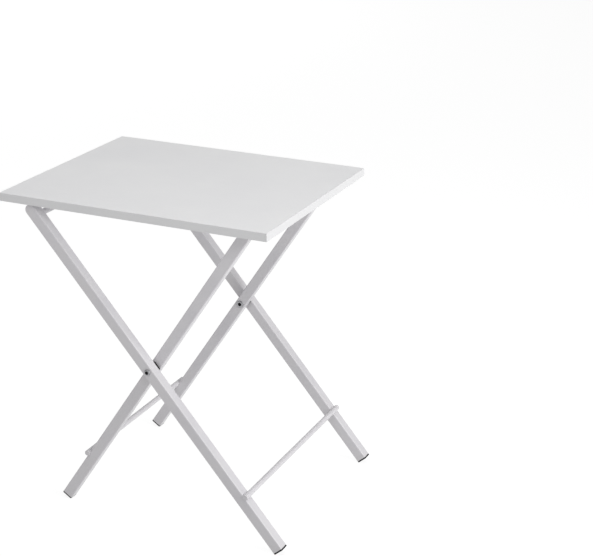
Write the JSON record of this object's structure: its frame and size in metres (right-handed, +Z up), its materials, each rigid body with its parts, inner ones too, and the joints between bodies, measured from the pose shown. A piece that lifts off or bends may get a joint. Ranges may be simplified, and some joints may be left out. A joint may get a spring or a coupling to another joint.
{
  "type": "folding table",
  "caption": "Folding side table with a rectangular board on crossed frames of square tube, hinged at one end and hooked over a bar at the other.",
  "frame": {"origin": "on the floor under the middle of the open table's box", "axes": "+Z up, +X from the board's hinge end to its hook end, +Y from the near long side to the far long side"},
  "size_m": [0.5982, 0.466, 0.65],
  "materials": {
    "board_melamine": "satin white melamine on particle board",
    "edge_band": "satin white edge band",
    "white_powder_coat": "white powder coat with a fine orange peel",
    "black_plastic": "moulded black plastic",
    "hook_plastic": "moulded white plastic",
    "zinc_steel": "bright zinc plate"
  },
  "bodies": {
    "outer_frame": {"outer_leg_near": "white_powder_coat", "outer_leg_far": "white_powder_coat", "outer_top_bar": "white_powder_coat", "outer_brace_rod": "white_powder_coat", "outer_foot_plug_near": "black_plastic", "outer_foot_plug_far": "black_plastic", "pivot_bolt_near": "zinc_steel", "pivot_bolt_far": "zinc_steel", "pivot_spacer_near": "black_plastic", "pivot_spacer_far": "black_plastic", "pivot_sleeve_nut_near": "zinc_steel", "pivot_sleeve_nut_far": "zinc_steel", "hinge_bolt_near": "zinc_steel", "hinge_bolt_far": "zinc_steel", "hinge_nut_near": "zinc_steel", "hinge_nut_far": "zinc_steel"},
    "inner_frame": {"inner_leg_near": "white_powder_coat", "inner_leg_far": "white_powder_coat", "inner_top_bar": "white_powder_coat", "inner_brace_rod": "white_powder_coat", "inner_foot_plug_near": "black_plastic", "inner_foot_plug_far": "black_plastic"},
    "top": {"top_panel": "board_melamine", "edge_band_left": "edge_band", "edge_band_right": "edge_band", "edge_band_near": "edge_band", "edge_band_far": "edge_band", "hinge_bracket_near": "white_powder_coat", "hinge_bracket_far": "white_powder_coat", "bar_hook_near": "hook_plastic", "bar_hook_far": "hook_plastic", "bracket_screw_near_1": "zinc_steel", "bracket_screw_near_2": "zinc_steel", "bracket_screw_far_1": "zinc_steel", "bracket_screw_far_2": "zinc_steel", "hook_screw_near_1": "zinc_steel", "hook_screw_near_2": "zinc_steel", "hook_screw_far_1": "zinc_steel", "hook_screw_far_2": "zinc_steel"}
  },
  "joints": [
    {"name": "leg_pivot", "type": "hinge", "parent": "outer_frame", "child": "inner_frame", "pos_m": [0.01301, 0, 0.33116], "axis": [0, -1, 0], "range_deg": [0, 73]},
    {"name": "top_hinge", "type": "hinge", "parent": "outer_frame", "child": "top", "pos_m": [-0.23555, 0, 0.6211], "axis": [0, -1, 0], "range_deg": [0, 31.7]}
  ],
  "couplings": [
    {"joint": "top_hinge", "follows": "leg_pivot", "ratio": 0.43291}
  ]
}
